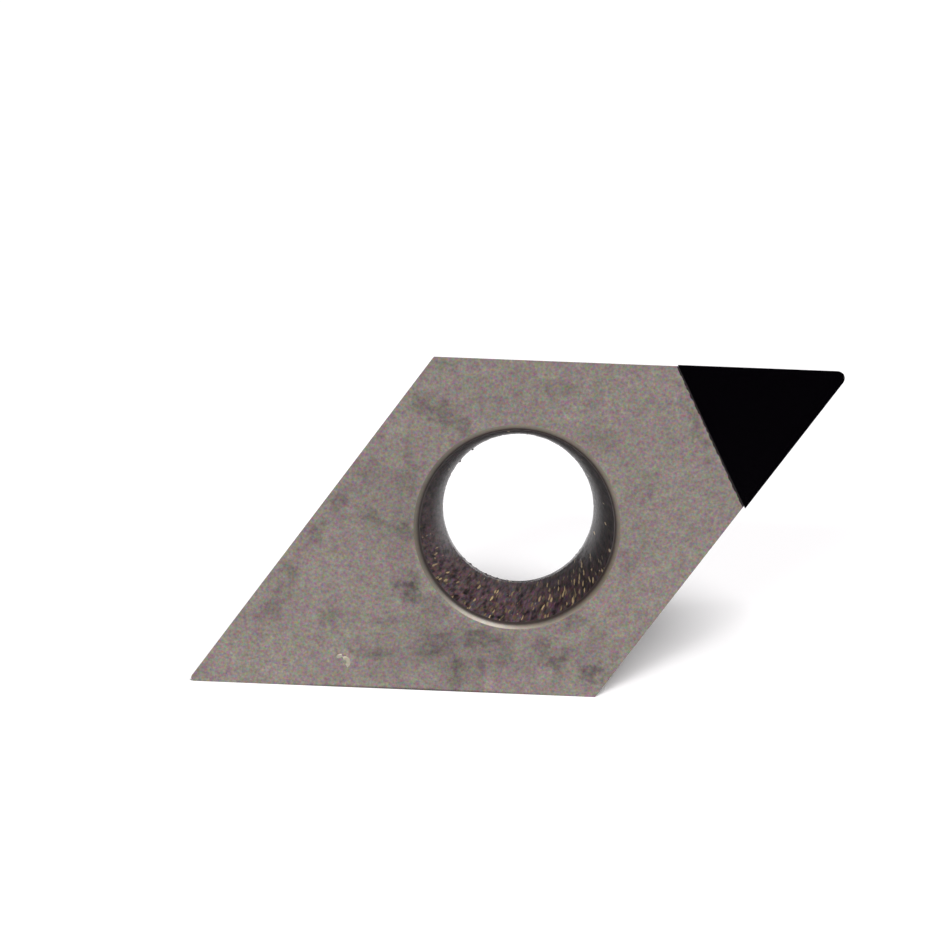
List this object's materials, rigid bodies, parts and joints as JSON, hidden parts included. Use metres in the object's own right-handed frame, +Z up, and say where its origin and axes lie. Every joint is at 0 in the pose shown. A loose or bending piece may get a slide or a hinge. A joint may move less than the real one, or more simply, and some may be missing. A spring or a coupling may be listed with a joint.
{
  "type": "pcd turning insert",
  "caption": "Rhombic turning insert of ground cemented carbide, with a black diamond tip brazed into a pocket at its cutting corner and a conical screw hole.",
  "frame": {"origin": "the screw hole's axis where it meets the seat face, the point that lands on the tool holder's pocket floor", "axes": "+X along the upper cutting edge towards the diamond tip, +Y from the rake face towards the seat side, +Z up from the flank that the insert stands on; the screw leaves along the hole's axis, which leans 7 degrees up from -Y"},
  "size_m": [0.0181, 0.005, 0.0094],
  "materials": {
    "ground_carbide": "ground and lapped cemented carbide, matt warm grey",
    "silver_braze": "silver braze, dull",
    "backing_carbide": "ground cemented carbide",
    "polished_diamond": "lapped polycrystalline diamond, black"
  },
  "bodies": {
    "root": {"carbide_body": "ground_carbide", "braze_joint": "silver_braze", "tip_backing": "backing_carbide", "diamond_layer": "polished_diamond"}
  },
  "joints": []
}
